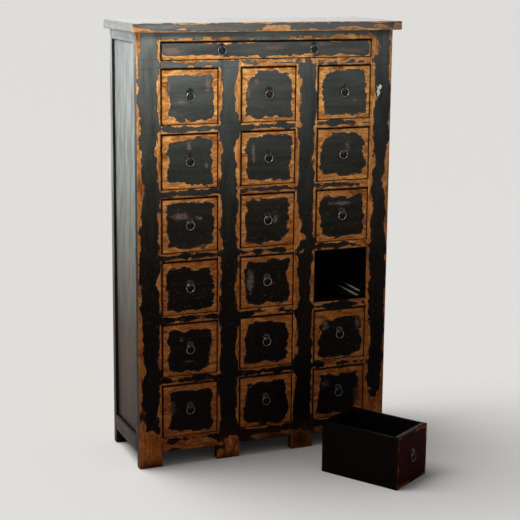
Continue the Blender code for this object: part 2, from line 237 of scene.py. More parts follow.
# Dulled smears on drawer fronts: centre x from the middle and z from the lower edge, half sizes in mm
DRAWER_RUBS = {
    "r1_c1": ((60, 128, 13, 34), (-72, 118, 8, 34), (-26, 70, 14, 7)),
    "r1_c2": ((-44, 128, 9, 12), (-70, 92, 8, 22)),
    "r1_c3": ((40, 60, 12, 8),),
    "r2_c1": ((-2, 136, 8, 22), (56, 70, 8, 12)),
    "r2_c2": ((-52, 104, 7, 42),),
    "r2_c3": ((16, 112, 13, 22),),
    "r3_c1": ((-30, 116, 34, 16), (30, 110, 16, 8)),
    "r3_c2": ((28, 90, 8, 18),),
    "r3_c3": ((0, 128, 50, 9),),
    "r4_c2": ((-60, 92, 18, 46), (20, 80, 16, 5)),
    "r5_c1": ((-2, 46, 22, 5), (-30, 120, 12, 10)),
    "r5_c3": ((-54, 126, 16, 26), (66, 120, 14, 30)),
    "r6_c1": ((-60, 96, 14, 30),),
    "r6_c3": ((70, 70, 16, 36), (-50, 120, 20, 16)),
}
WIDE_RUBS = ((-330, 30, 50, 14), (10, 34, 60, 9), (170, 44, 70, 8), (300, 20, 60, 10))


def rectangles():
    """Every opening's name and its (left, right, bottom, top) in the layout."""
    found = [("wide", WIDE_OPENING)]
    for row in range(1, ROWS + 1):
        for column in range(1, COLUMNS + 1):
            left = (column - 1) * COLUMN_PITCH + STILE_WIDTH
            bottom = FIRST_OPENING_TOP - (row - 1) * ROW_PITCH - OPENING_HEIGHT
            rectangle = (left, left + OPENING_WIDTH, bottom, bottom + OPENING_HEIGHT)
            found.append((f"r{row}_c{column}", rectangle))
    return found


OPENINGS = rectangles()


def worn_widths(table, trims, name):
    """The widths of one opening or drawer, with the trim of its half of the rows."""
    if not name.startswith("r"):
        return table[name]
    trim = trims[0] if int(name[1]) <= ROWS // 2 else trims[1]
    return [max(width + change, 0) for width, change in zip(table[name], trim)]


def around(x, z, rectangle):
    """Where each point's nearest outline point lies, as a number from 0 to 12 round the rectangle."""
    left, right, bottom, top = rectangle
    u = (x - (left + right) / 2) / ((right - left) / 2)
    v = (z - (bottom + top) / 2) / ((top - bottom) / 2)
    reach = np.maximum(np.maximum(np.abs(u), np.abs(v)), 1e-6)
    u = u / reach
    v = v / reach
    left_side = 1.5 * (v + 1)
    top_side = 3 + 1.5 * (u + 1)
    right_side = 6 + 1.5 * (1 - v)
    bottom_side = 9 + 1.5 * (1 - u)
    beside = np.where(u < 0, left_side, right_side)
    over = np.where(v > 0, top_side, bottom_side)
    return np.where(np.abs(u) >= np.abs(v), beside, over)


def value_along(place, profile):
    """The value at each place along a profile of (place, value) pairs."""
    places, values = zip(*profile)
    return np.interp(place, places, values)


def width_at(place, widths):
    """Smoothly interpolated width in metres at a place round a rectangle."""
    widths = np.asarray(widths, float) * MM
    low = np.floor(place).astype(int) % 12
    part = place - np.floor(place)
    part = part * part * (3 - 2 * part)
    return widths[low] * (1 - part) + widths[(low + 1) % 12] * part


def soft_min(*distances):
    """The least of some distances, rounded where two are alike."""
    softness = 0.0035
    total = sum(np.exp(-distance / softness) for distance in distances)
    return -softness * np.log(total)


def inside_wear(x, z, rectangle, widths):
    """Wear that reaches inwards from a rectangle's outline."""
    left, right, bottom, top = rectangle
    depth = soft_min(x - left, right - x, z - bottom, top - z)
    return width_at(around(x, z, rectangle), widths) - depth


def outside_wear(x, z, rectangle, widths):
    """Wear that reaches outwards from a rectangle's outline."""
    left, right, bottom, top = rectangle
    near_x = np.clip(x, left, right)
    near_z = np.clip(z, bottom, top)
    distance = np.hypot(x - near_x, z - near_z)
    return width_at(around(near_x, near_z, rectangle), widths) - distance


def radial(x, z, patch):
    """Distance from the middle of an elliptical patch, 1 on its outline."""
    centre_x, centre_z, reach_x, reach_z = patch
    return np.hypot((x - centre_x * MM) / (reach_x * MM), (z - centre_z * MM) / (reach_z * MM))


def patch_wear(x, z, patches):
    """Wear inside elliptical patches, positive within them."""
    best = np.full_like(x, -1.0)
    for patch in patches:
        best = np.maximum(best, (1 - radial(x, z, patch)) * min(patch[2:]) * MM)
    return best


def spots(x, z, patches):
    """How strongly elliptical spots cover each point, from 0 to 1."""
    edge = 1.25
    best = np.zeros_like(x)
    for patch in patches:
        best = np.maximum(best, np.clip(edge - radial(x, z, patch), 0, 1))
    return best


def arris_wear(x, z, edge, profile):
    """Wear along a vertical outer edge whose width changes with height."""
    return value_along(z, profile) * MM - np.abs(x - edge)


def gap_shadow(x, z, rectangle):
    """Painted shade in the gap round a drawer, widest at its left and top edges."""
    left, right, bottom, top = rectangle
    wide_reach = 0.0036
    narrow_reach = 0.0021
    near = np.minimum(
        np.minimum(np.abs(x - left), np.abs(z - top)) / wide_reach,
        np.minimum(np.abs(x - right), np.abs(z - bottom)) / narrow_reach,
    )
    beyond = np.maximum(np.maximum(left - x, x - right), np.maximum(bottom - z, z - top))
    return np.where(beyond > wide_reach, 0.0, np.clip(1.35 - near, 0, 1))


def pull_shadow(x, z, pulls):
    """Painted shade, with some soiling, on a drawer front behind and round its hanging rings."""
    reach = 0.0182
    fade = 0.005
    darkest = 0.80
    shade_and_dirt = np.zeros_like(x)
    for _, pull_x, pivot_z in pulls:
        distance = np.hypot(x - pull_x, z - pivot_z + RING_RADIUS)
        shade_and_dirt = np.maximum(shade_and_dirt, np.clip((reach - distance) / fade, 0, darkest))
    return shade_and_dirt


def frame_gap_shade(points):
    """Painted shade in the gaps on the face frame along every opening."""
    shade_and_dirt = np.zeros(len(points))
    for _, rectangle in OPENINGS:
        shade_and_dirt = np.maximum(shade_and_dirt, gap_shadow(points[:, 0], points[:, 2], rectangle))
    return shade_and_dirt


def gleam(across, tone):
    """How much brighter a place is under the painted sheen: on the upper rows this falls from left to
    right.
    """
    return np.exp(value_along(across, GLEAM_ACROSS) * value_along(tone, GLEAM_STRENGTH))


def frame_wear(points):
    """Wear of the face frame at points of the layout, fading where a board turns into the depth."""
    x, y, z = points.T
    wear = patch_wear(x, z, FRAME_PATCHES)
    for name, rectangle in OPENINGS:
        widths = worn_widths(OPENING_WEAR, OPENING_TRIMS, name)
        wear = np.maximum(wear, outside_wear(x, z, rectangle, widths))
    wear = np.maximum(wear, arris_wear(x, z, 0.0, LEFT_ARRIS))
    wear = np.maximum(wear, arris_wear(x, z, BODY_WIDTH, RIGHT_ARRIS)) - WEAR_TRIM
    return wear - TURN_FADE * np.maximum(y - FRAME_FACE_DEPTH, 0)


# ---- meshes
def lines(low, high, step, radius):
    """Coordinates along one axis of a board, close together in its rounded edges."""
    radius = min(radius, (high - low) / 3)
    count = max(1, round((high - low - 2 * radius) / step))
    flat = np.linspace(low + radius, high - radius, count + 1)
    rim = np.array((0.0, 0.42 * radius))
    return np.concatenate((low + rim, flat, high - rim[::-1]))


def smooth_mesh(name, vertices, faces):
    """A new mesh, shaded smooth."""
    mesh = bpy.data.meshes.new(name)
    mesh.from_pydata(vertices, [], faces)
    mesh.shade_smooth()
    return mesh


def new_object(name, data):
    """A new object, linked to the scene."""
    made = bpy.data.objects.new(name, data)
    bpy.context.scene.collection.objects.link(made)
    return made


def board_mesh(name, low, high, steps, radius=0.0016, uneven=0.0):
    """A closed board with rounded edges, as a mesh and its vertices' positions before rounding."""
    axes = [lines(low[axis], high[axis], steps[axis], radius) for axis in range(3)]
    counts = [len(values) for values in axes]
    index = {}
    points = []
    faces = []

    def vertex(key):
        if key not in index:
            index[key] = len(points)
            points.append([axes[axis][key[axis]] for axis in range(3)])
        return index[key]

    for axis in range(3):
        across = (axis + 1) % 3
        along = (axis + 2) % 3
        for side in (0, counts[axis] - 1):
            for i, j in np.ndindex(counts[across] - 1, counts[along] - 1):
                ring = []
                for di, dj in ((0, 0), (1, 0), (1, 1), (0, 1)):
                    key = [0, 0, 0]
                    key[axis] = side
                    key[across] = i + di
                    key[along] = j + dj
                    ring.append(vertex(tuple(key)))
                faces.append(ring if side else ring[::-1])
    points = np.array(points)
    low = np.array(low)
    high = np.array(high)
    core = np.clip(points, low + radius, high - radius)
    offset = points - core
    length = np.linalg.norm(offset, axis=1)
    rounded = core + offset * (radius / np.maximum(length, 1e-9))[:, None]
    if uneven:
        at_edge = (np.abs(offset) > 1e-9).sum(axis=1) > 1
        seed = Vector((low[2] * 7, low[0] * 5, low[1]))
        for number in np.nonzero(at_edge)[0]:
            bite = max(0.0, noise.noise(Vector(points[number]) * 28 + seed) + 0.1)
            rounded[number] -= offset[number] / length[number] * bite * uneven
    mesh = smooth_mesh(name, rounded.tolist(), faces)
    mesh.set_sharp_from_angle(angle=math.radians(42))
    return mesh, points


def store(mesh, name, values):
    """Write one value or vector for each vertex as a named attribute."""
    kind, field = ("FLOAT_VECTOR", "vector") if np.ndim(values) == 2 else ("FLOAT", "value")
    layer = mesh.attributes.new(name, kind, "POINT")
    layer.data.foreach_set(field, np.ascontiguousarray(values, dtype=np.float32).ravel())


def dress(mesh, points, grain, seed, wear, tone, rub=0.0, shade_and_dirt=0.0, chalk=0.0, across=0.5):
    """Write the attributes that the materials read; across is a fraction of the cabinet's width."""
    order = [grain, (grain + 1) % 3, (grain + 2) % 3]
    shift = np.array((seed * 0.731, seed * 1.377, seed * 0.519))
    store(mesh, "local", points[:, order] + shift)
    scalars = {"wear": wear, "tone": tone, "rub": rub, "shade_and_dirt": shade_and_dirt, "chalk": chalk}
    scalars["gleam"] = gleam(across, tone)
    for name, values in scalars.items():
        store(mesh, name, np.broadcast_to(np.asarray(values, float), len(points)))


def add_piece(mesh, material, body, place, replaces=()):
    """Make a mesh a piece of the object; place moves it from its own frame to the row frame."""
    mesh.transform(place)
    mesh.materials.append(material)
    piece = new_object(mesh.name, mesh)
    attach(piece, body)
    if replaces:
        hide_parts(*replaces)
    return piece


LAYOUT = Matrix.Translation(ORIGIN)
seeds = iter(range(1, 2000))


def frame_board(name, box, grain, material, steps=(0.006, 0.009, 0.006),
                wear=frame_wear, shade_and_dirt=frame_gap_shade, radius=0.0016, uneven=0.001, replaces=()):
    """A board of the standing cabinet, given as (low, high) in the layout."""
    mesh, points = board_mesh(name, *box, steps, radius, uneven)
    amount = wear(points) if callable(wear) else wear
    tone = np.clip(points[:, 2] / TOTAL_HEIGHT, 0, 1)
    rub = spots(points[:, 0], points[:, 2], FRAME_STAINS)
    chalk = spots(points[:, 0], points[:, 2], CHIPS) * (points[:, 1] < CHIP_DEPTH)
    across = points[:, 0] / BODY_WIDTH
    dress(mesh, points, grain, next(seeds), amount, tone, rub, shade_and_dirt(points), chalk, across)
    add_piece(mesh, material, "cabinet", LAYOUT, replaces)


# ---- materials
# Where a Mix node keeps its two colour inputs and its colour output
MIX_FIRST = 6
MIX_SECOND = 7
MIX_RESULT = 2


class Tree:
    """A short way to write a material's nodes."""

    def __init__(self, name):
        self.material = bpy.data.materials.new(name)
        self.material.use_nodes = True
        self.nodes = self.material.node_tree.nodes
        self.links = self.material.node_tree.links
        self.shader = self.nodes["Principled BSDF"]

    def feed(self, socket, value):
        if isinstance(value, bpy.types.NodeSocket):
            self.links.new(value, socket)
        elif isinstance(value, tuple) and len(value) == 3 and socket.type == "RGBA":
            socket.default_value = (*value, 1.0)
        else:
            socket.default_value = value

    def attribute(self, name, vector=False):
        node = self.nodes.new("ShaderNodeAttribute")
        node.attribute_name = name
        return node.outputs["Vector" if vector else "Fac"]

    def math(self, operation, first, second=0.0, third=0.0):
        node = self.nodes.new("ShaderNodeMath")
        node.operation = operation
        for socket, value in zip(node.inputs, (first, second, third)):
            self.feed(socket, value)
        return node.outputs[0]

    def times(self, first, second):
        return self.math("MULTIPLY", first, second)

    def noise(self, vector, scale, detail, roughness, distortion=0.0):
        node = self.nodes.new("ShaderNodeTexNoise")
        self.feed(node.inputs["Vector"], vector)
        node.inputs["Scale"].default_value = scale
        node.inputs["Detail"].default_value = detail
        node.inputs["Roughness"].default_value = roughness
        node.inputs["Distortion"].default_value = distortion
        return node.outputs[0]

    def streaky(self, vector, along, across, detail, roughness, distortion=0.0):
        """Noise drawn out along a board's grain."""
        node = self.nodes.new("ShaderNodeVectorMath")
        node.operation = "MULTIPLY"
        self.feed(node.inputs[0], vector)
        node.inputs[1].default_value = (along, across, across)
        return self.noise(node.outputs[0], 1.0, detail, roughness, distortion)

    def remap(self, value, low, high, new_low=0.0, new_high=1.0):
        node = self.nodes.new("ShaderNodeMapRange")
        self.feed(node.inputs["Value"], value)
        ends = {"From Min": low, "From Max": high, "To Min": new_low, "To Max": new_high}
        for name, number in ends.items():
            node.inputs[name].default_value = number
        return node.outputs[0]

    def ramp(self, value, *stops):
        node = self.nodes.new("ShaderNodeValToRGB")
        self.feed(node.inputs[0], value)
        elements = node.color_ramp.elements
        while len(elements) < len(stops):
            elements.new(0.5)
        for element, (position, colour) in zip(elements, stops):
            element.position = position
            element.color = (*colour, 1.0)
        return node.outputs[0]

    def mix(self, factor, first, second, kind="MIX"):
        node = self.nodes.new("ShaderNodeMix")
        node.data_type = "RGBA"
        node.blend_type = kind
        self.feed(node.inputs[0], factor)
        self.feed(node.inputs[MIX_FIRST], first)
        self.feed(node.inputs[MIX_SECOND], second)
        return node.outputs[MIX_RESULT]

    def tint(self, colour, factor):
        return self.mix(1.0, colour, factor, "MULTIPLY")

    def bump(self, height, distance, strength):
        node = self.nodes.new("ShaderNodeBump")
        node.inputs["Distance"].default_value = distance
        node.inputs["Strength"].default_value = strength
        self.feed(node.inputs["Height"], height)
        self.links.new(node.outputs[0], self.shader.inputs["Normal"])

    def set(self, **values):
        for name, value in values.items():
            self.feed(self.shader.inputs[name.replace("_", " ")], value)
        return self.material


def wood_grain(tree, local):
    """Fine streaks along the board, from 0 to 1."""
    coarse = tree.streaky(local, 5.0, 70.0, 5.0, 0.62, 0.6)
    fine = tree.streaky(local, 40.0, 900.0, 3.0, 0.7)
    return tree.math("MULTIPLY_ADD", fine, 0.35, tree.times(coarse, 0.75))


def joint_lines(tree, tone):
    """Hairlines across a stile where each rail is lapped into it, found from the height."""
    height = tree.times(tone, TOTAL_HEIGHT)
    below = tree.math("DIVIDE", tree.math("SUBTRACT", FIRST_OPENING_TOP, height), ROW_PITCH)
    phase = tree.times(tree.math("FRACT", below), ROW_PITCH)
    to_bottom = tree.math("ABSOLUTE", tree.math("SUBTRACT", phase, OPENING_HEIGHT))
    to_top = tree.math("MINIMUM", phase, tree.math("SUBTRACT", ROW_PITCH, phase))
    return tree.remap(tree.math("MINIMUM", to_bottom, to_top), 0.0011, 0.0004)


# Colours of the bare wood's patches
RUDDY = (0.40, 0.125, 0.026)
BROWN = (0.150, 0.048, 0.013)
GOLDEN = (1.0, 0.57, 0.17)
FLECK = (0.075, 0.026, 0.010)
# A painted highlight along the lacquer's edge on bare wood
LIP_HIGHLIGHT = (0.86, 0.50, 0.24)
BURNT = (0.050, 0.010, 0.005)
# Colours in and under the lacquer; a pair is for the floor and for the top, the top one lighter as painted
# light
DARK_STREAKS = ((0.006, 0.002, 0.001), (0.130, 0.100, 0.080))
BROWN_STREAKS = ((0.070, 0.028, 0.012), (0.360, 0.325, 0.290))
UNDERCOAT = ((0.016, 0.004, 0.002), (0.130, 0.062, 0.042))
SCRATCH = (0.16, 0.14, 0.12)
DULLED = (0.215, 0.145, 0.112)
CHALK = (0.66, 0.62, 0.55)
SEAM = (0.004, 0.003, 0.002)
# Near-black for painted shade in gaps, recesses and inside the cabinet, and for some soiling
SHADE_AND_DIRT = (0.0035, 0.002, 0.0015)


def lacquer_noises(tree, local):
    """The noises that more than one layer of a lacquered board uses."""
    return {
        "lobes": tree.streaky(local, 23.0, 29.0, 1.5, 0.5, 0.5),
        "nibbles": tree.streaky(local, 75.0, 125.0, 4.0, 0.62, 1.2),
        "streaks": tree.streaky(local, 13.0, 150.0, 3.0, 0.6, 0.4),
        "specks": tree.noise(local, 420.0, 2.0, 0.6),
        "flecks": tree.streaky(local, 60.0, 210.0, 3.0, 0.6),
    }


def swayed(tree, value, noise_value, reach):
    """A value moved up and down by a noise."""
    return tree.math("MULTIPLY_ADD", tree.math("SUBTRACT", noise_value, 0.5), reach, value)


def ragged_edge(tree, noises, raggedness):
    """The wear in metres with a ragged outline: positive on bare wood, negative on lacquer."""
    edge = swayed(tree, tree.attribute("wear"), noises["lobes"], 0.033 * raggedness)
    edge = swayed(tree, edge, noises["nibbles"], 0.014 * raggedness)
    edge = swayed(tree, edge, noises["streaks"], 0.011)
    return swayed(tree, edge, noises["specks"], 0.003)


def amber_wood(tree, local, noises, edge, grain, amber):
    """Bare wood: cloudy amber grain, paler at the lacquer's edge as a painted highlight, darker towards the
    floor as painted shade.
    """
    dark, middle, light = amber
    wood = tree.ramp(grain, (0.28, dark), (0.50, middle), (0.72, light))
    clouds = tree.streaky(local, 17.0, 48.0, 5.0, 0.68, 1.2)
    ruddy = tree.streaky(local, 7.0, 15.0, 3.0, 0.6, 0.8)
    wood = tree.mix(tree.remap(ruddy, 0.50, 0.62, 0.0, 0.65), wood, RUDDY)
    wood = tree.mix(tree.remap(clouds, 0.50, 0.66, 0.0, 0.85), wood, BROWN)
    wood = tree.mix(tree.remap(clouds, 0.46, 0.33, 0.0, 0.90), wood, GOLDEN)
    wood = tree.mix(tree.remap(noises["flecks"], 0.60, 0.68, 0.0, 0.65), wood, FLECK)
    # A painted highlight along the lacquer's edge
    near_edge = tree.remap(edge, 0.0040, 0.0006)
    lip_highlight = tree.times(near_edge, tree.remap(noises["streaks"], 0.40, 0.55))
    wood = tree.mix(tree.times(lip_highlight, 0.65), wood, LIP_HIGHLIGHT)
    wood = tree.mix(tree.times(tree.attribute("rub"), 0.86), wood, BURNT)
    return tree.tint(wood, tree.ramp(tree.attribute("tone"), *DIMMING))


def dark_lacquer(tree, local, noises, stops, streaked, streak_colours):
    """Sound lacquer: its colour by height, lighter towards the top as painted light, then mottled,
    streaked, scratched and dulled in smears.
    """
    tone = tree.attribute("tone")
    lacquer = tree.ramp(tone, *stops)
    blotches = tree.streaky(local, 7.0, 44.0, 4.0, 0.6)
    lacquer = tree.tint(lacquer, tree.remap(blotches, 0.3, 0.7, 0.66, 1.36))
    broad = tree.streaky(local, 4.5, 46.0, 4.0, 0.64, 0.3)
    fine_lines = tree.remap(noises["streaks"], 0.54, 0.68)
    worn_lines = tree.math("MAXIMUM", fine_lines, tree.remap(broad, 0.52, 0.64))
    # The streaks are lighter towards the top, as painted light
    low_streak, high_streak = streak_colours
    streak = tree.mix(tree.math("POWER", tone, 3.0), low_streak, high_streak)
    lacquer = tree.mix(tree.times(worn_lines, streaked), lacquer, streak)
    hairs = tree.streaky(local, 26.0, 620.0, 1.0, 0.5, 2.0)
    lacquer = tree.mix(tree.remap(hairs, 0.70, 0.80, 0.0, 0.14), lacquer, SCRATCH)
    smear = swayed(tree, tree.attribute("rub"), noises["nibbles"], 2.4)
    smear = swayed(tree, smear, noises["flecks"], 2.0)
    strength = tree.remap(tone, 0.1, 0.9, 0.07, 0.80)
    return tree.mix(tree.times(tree.remap(smear, 0.35, 1.05), strength), lacquer, DULLED)


def lacquer_material(name, amber, stops, raggedness=1.0, specular=0.04, jointed=False, streaked=0.24,
                     streak_colours=DARK_STREAKS, graded=True):
    """Black lacquer worn through to amber wood, as its mesh attributes say."""
    tree = Tree(name)
    local = tree.attribute("local", vector=True)
    tone = tree.attribute("tone")
    noises = lacquer_noises(tree, local)
    nibbles = noises["nibbles"]
    edge = ragged_edge(tree, noises, raggedness)
    bare = tree.remap(edge, -0.0003, 0.0005)
    grain = wood_grain(tree, local)
    wood = amber_wood(tree, local, noises, edge, grain, amber)
    lacquer = dark_lacquer(tree, local, noises, stops, streaked, streak_colours)
    # Painted sheen across the front
    if graded:
        brightness = tree.attribute("gleam")
        wood = tree.tint(wood, tree.math("POWER", brightness, 0.6))
        lacquer = tree.tint(lacquer, brightness)
    primer = tree.remap(edge, -0.0042, -0.0008)
    colour = tree.mix(tree.times(primer, 0.7), lacquer, tree.mix(tone, *UNDERCOAT))
    colour = tree.mix(bare, colour, wood)
    chalk = tree.times(tree.attribute("chalk"), tree.remap(nibbles, 0.40, 0.62))
    colour = tree.mix(tree.remap(chalk, 0.26, 0.34), colour, CHALK)
    if jointed:
        broken = tree.remap(nibbles, 0.35, 0.55, 0.05, 0.52)
        colour = tree.mix(tree.times(joint_lines(tree, tone), broken), colour, SEAM)
    # Painted shade in gaps, recesses and inside the cabinet, with some soiling, speckled and mixed in
    # near-black
    shade_and_dirt_mask = swayed(tree, tree.attribute("shade_and_dirt"), noises["specks"], 0.5)
    colour = tree.mix(tree.remap(shade_and_dirt_mask, 0.45, 1.0, 0.0, 0.96), colour, SHADE_AND_DIRT)
    rough = tree.math("MULTIPLY_ADD", nibbles, 0.20, tree.remap(bare, 0.0, 1.0, 0.32, 0.50))
    height = tree.math("MULTIPLY_ADD", grain, 0.25, tree.times(bare, -0.55))
    height = tree.math("MULTIPLY_ADD", noises["lobes"], 0.9, height)
    tree.bump(height, 0.0007, 0.7)
    return tree.set(Base_Color=colour, Roughness=rough, Specular_IOR_Level=specular)


def rubbed_wood(name, dark, light, specular=0.1):
    """Boards with a dark stain, light where wear is positive: rubbed bare by the drawers, bare on the
    back planks' outer side, partly a painted highlight on runners and guides. Inside the cabinet the
    dark is partly painted shade.
    """
    tree = Tree(name)
    local = tree.attribute("local", vector=True)
    grain = wood_grain(tree, local)
    dark_part = tree.ramp(grain, (0.30, dark), (0.75, tuple(3.2 * part for part in dark)))
    rubbed = tree.ramp(grain, (0.25, tuple(0.45 * part for part in light)), (0.70, light))
    ragged = tree.streaky(local, 18.0, 120.0, 4.0, 0.6)
    edge = swayed(tree, tree.attribute("wear"), ragged, 0.008)
    colour = tree.mix(tree.remap(edge, -0.0006, 0.0012), dark_part, rubbed)
    rough = tree.math("MULTIPLY_ADD", grain, 0.2, 0.5)
    tree.bump(grain, 0.0004, 0.8)
    return tree.set(Base_Color=colour, Roughness=rough, Specular_IOR_Level=specular)


def iron_material(name, dark, middle, bright, metallic):
    """Hand-forged iron, dark with rubbed bright spots and a little rust, darker towards the floor as
    painted shade.
    """
    tree = Tree(name)
    local = tree.attribute("local", vector=True)
    patches = tree.noise(local, 210.0, 4.0, 0.65)
    pits = tree.noise(local, 1100.0, 2.0, 0.6)
    colour = tree.ramp(patches, (0.30, dark), (0.50, middle), (0.68, bright))
    rust = tree.remap(tree.noise(local, 420.0, 3.0, 0.6), 0.58, 0.70, 0.0, 0.5)
    colour = tree.mix(rust, colour, (0.085, 0.034, 0.015))
    # Painted shade: the iron darkens towards the floor
    dimming = tree.remap(tree.attribute("tone"), 0.0, 0.9, 0.22, 1.0)
    colour = tree.tint(colour, dimming)
    rough = tree.remap(patches, 0.3, 0.7, 0.50, 0.24)
    tree.bump(tree.math("MULTIPLY_ADD", pits, 0.5, patches), 0.0003, 0.6)
    return tree.set(Base_Color=colour, Roughness=rough, Metallic=metallic)


# How bare wood darkens towards the floor, as painted shade: a multiplier at each tone
DIMMING = (
    (0.0, (0.22, 0.14, 0.09)), (0.10, (0.24, 0.155, 0.105)), (0.25, (0.27, 0.19, 0.135)),
    (0.40, (0.33, 0.24, 0.18)), (0.55, (0.49, 0.39, 0.335)), (0.70, (0.73, 0.67, 0.65)),
    (0.85, (1.13, 1.14, 1.22)), (1.0, (0.85, 0.9, 1.1)),
)
# The lacquer's colour at each tone, on the front, on the floor drawer and on the sides; on the front and
# sides it is painted light, lighter towards the top, with a painted sheen on the sides
LACQUER_STOPS = (
    (0.0, (0.0080, 0.0016, 0.0008)), (0.05, (0.0060, 0.0012, 0.0006)), (0.10, (0.0012, 0.0004, 0.0002)),
    (0.30, (0.0016, 0.0005, 0.0003)), (0.45, (0.0034, 0.0019, 0.0010)), (0.58, (0.0120, 0.0108, 0.0077)),
    (0.70, (0.026, 0.028, 0.024)), (0.85, (0.066, 0.073, 0.067)), (0.965, (0.150, 0.167, 0.157)),
    (1.0, (0.098, 0.108, 0.103)),
)
RED_STOPS = ((0.0, (0.0180, 0.0006, 0.0002)), (1.0, (0.0180, 0.0006, 0.0002)))
SIDE_STOPS = (
    (0.0, (0.004, 0.002, 0.001)), (0.08, (0.010, 0.006, 0.004)), (0.30, (0.042, 0.036, 0.025)),
    (0.55, (0.145, 0.160, 0.138)), (0.80, (0.27, 0.305, 0.295)), (1.0, (0.35, 0.390, 0.395)),
)
# Dark, middle and light grain of the bare wood, on the front and on the sides
AMBER = ((0.27, 0.095, 0.022), (0.58, 0.235, 0.055), (0.80, 0.40, 0.12))
FADED = ((0.12, 0.050, 0.022), (0.23, 0.115, 0.055), (0.34, 0.20, 0.11))
front_lacquer = lacquer_material("worn_lacquer", AMBER, LACQUER_STOPS)
red_lacquer = lacquer_material("reddened_lacquer", AMBER, RED_STOPS, specular=0.01)
stile_lacquer = lacquer_material("jointed_lacquer", AMBER, LACQUER_STOPS, jointed=True)
# The sides' pale grey, brightest at the top, is a painted sheen
side_lacquer = lacquer_material("side_lacquer_painted_sheen", FADED, SIDE_STOPS, 0.7, 0.07, streaked=0.75,
                                streak_colours=BROWN_STREAKS, graded=False)
top_lacquer = lacquer_material("polished_top_lacquer", AMBER, LACQUER_STOPS, 0.5, 0.5)
# Drawer boards and rear rails: near-black, the drawers' own black finish made darker still as painted shade
# inside the cabinet
dark_wood = rubbed_wood("black_stain_and_shade_wood", (0.0008, 0.0004, 0.0003), (0.11, 0.085, 0.060), 0.03)
# Runners and guides: dark as painted shade inside the cabinet, their pale tracks partly a painted highlight
runner_wood = rubbed_wood("runner_wood", (0.0030, 0.0020, 0.0014), (0.42, 0.37, 0.31))
# Back planks: bare wood behind, dark as painted shade on the side that faces the drawers
back_wood = rubbed_wood("bare_back_wood", (0.0018, 0.0010, 0.0007), (0.34, 0.235, 0.145))
iron = iron_material("forged_iron", (0.04, 0.037, 0.035), (0.24, 0.235, 0.225), (0.80, 0.78, 0.75), 0.9)
plate_iron = iron_material("blackened_plate", (0.010, 0.010, 0.009), (0.035, 0.035, 0.033),
                           (0.12, 0.12, 0.11), 0.6)


# ---- the standing cabinet
def node_layout_box(node):
    """A CAD node's box in the layout."""
    low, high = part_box(node)
    return tuple(np.array(low) - np.array(ORIGIN)), tuple(np.array(high) - np.array(ORIGIN))


def top_wear(points):
    """The top board: amber at its front corners and along both of its front arrises."""
    x, y, z = points.T
    low, high = node_layout_box("top_board")
    face_depth = 0.004
    slow_fade = 1.6
    wear = value_along(x, TOP_STRIP) * MM - (z - low[2])
    wear = np.maximum(wear, value_along(x, TOP_CREST) * MM - (high[2] - z))
    wear = np.maximum(wear, patch_wear(x, z, TOP_PATCHES))
    return wear - slow_fade * np.maximum(y - low[1] - face_depth, 0)


frame_board("top_board_plank", node_layout_box("top_board"), 0, top_lacquer, wear=top_wear,
            steps=(0.007, 0.010, 0.005), radius=0.003, uneven=0.0015, replaces=["top_board"])
for number in range(1, COLUMNS + 2):
    node = f"front_stile_{number}"
    frame_board(f"{node}_board", node_layout_box(node), 2, stile_lacquer, replaces=[node])
frame_board("top_rail_board", node_layout_box("top_rail"), 0, front_lacquer, replaces=["top_rail"])


def inner_faces(points):
    """Full painted shade on what faces the drawers, so that the inside of the cabinet is dark."""
    from_side = np.minimum(points[:, 0], BODY_WIDTH - points[:, 0])
    return np.where(from_side > SKIN_DEPTH, 1.0, 0.0)


def panel_shade(points):
    """A side panel: painted shade within, and in the corner where its frame stands proud of it."""
    _, y, z = points.T
    reach = 0.009
    to_top_rail = 1.6 * (z.max() - z)
    to_frame = np.minimum(np.minimum(y.max() - y, z - z.min()), to_top_rail)
    return np.maximum(inner_faces(points), np.clip(1.15 - to_frame / reach, 0, 1))


def post_shade(points):
    """A rear post: painted shade within, and where it stands proud of the panel."""
    return np.maximum(inner_faces(points), np.where(points[:, 1] < points[:, 1].min() + LEDGE, 1.0, 0.0))


def rail_dark_ledge(points):
    """A side's bottom rail: painted shade within, and dark on the ledge under the panel."""
    return np.maximum(inner_faces(points), np.where(points[:, 2] > points[:, 2].max() - LEDGE, 1.0, 0.0))


def faint_wear(points):
    """A side board: barely worn, more so towards the floor."""
    least = 0.0075
    return -least - least * np.clip(points[:, 2] / TOTAL_HEIGHT, 0, 1)


def mirrored(box, side):
    """A box of the left side in the layout, or its mirror image on the right side."""
    if side == "left":
        return box
    (low_x, *low), (high_x, *high) = box
    return (BODY_WIDTH - high_x, *low), (BODY_WIDTH - low_x, *high)


rail_start = UPRIGHT_END + TOUCH
SIDE_PARTS = {
    "upright": ((0.0, SIDE_START, SKIRT_BOTTOM), (SIDE_THICKNESS, UPRIGHT_END, SIDE_TOP)),
    "top_rail": ((0.0, rail_start, SIDE_TOP_RAIL_LOW), (SIDE_THICKNESS, RUNNER_END, SIDE_TOP)),
    "bottom_rail": ((0.0, rail_start, SKIRT_BOTTOM), (SIDE_THICKNESS, RUNNER_END, SIDE_BOTTOM_RAIL_HIGH)),
}
for side in ("left", "right"):
    for part, box in SIDE_PARTS.items():
        grain = 2 if part == "upright" else 1
        shade_and_dirt = rail_dark_ledge if part == "bottom_rail" else inner_faces
        frame_board(f"side_{part}_{side}", mirrored(box, side), grain, side_lacquer,
                    steps=(0.013, 0.012, 0.012), wear=faint_wear, shade_and_dirt=shade_and_dirt,
                    replaces=[f"side_frame_{side}"])
    for node, shade_and_dirt in ((f"side_panel_{side}", panel_shade), (f"rear_post_{side}", post_shade)):
        frame_board(f"{node}_board", node_layout_box(node), 2, side_lacquer,
                    steps=(0.013, 0.005, 0.006), wear=faint_wear, shade_and_dirt=shade_and_dirt, replaces=[node])


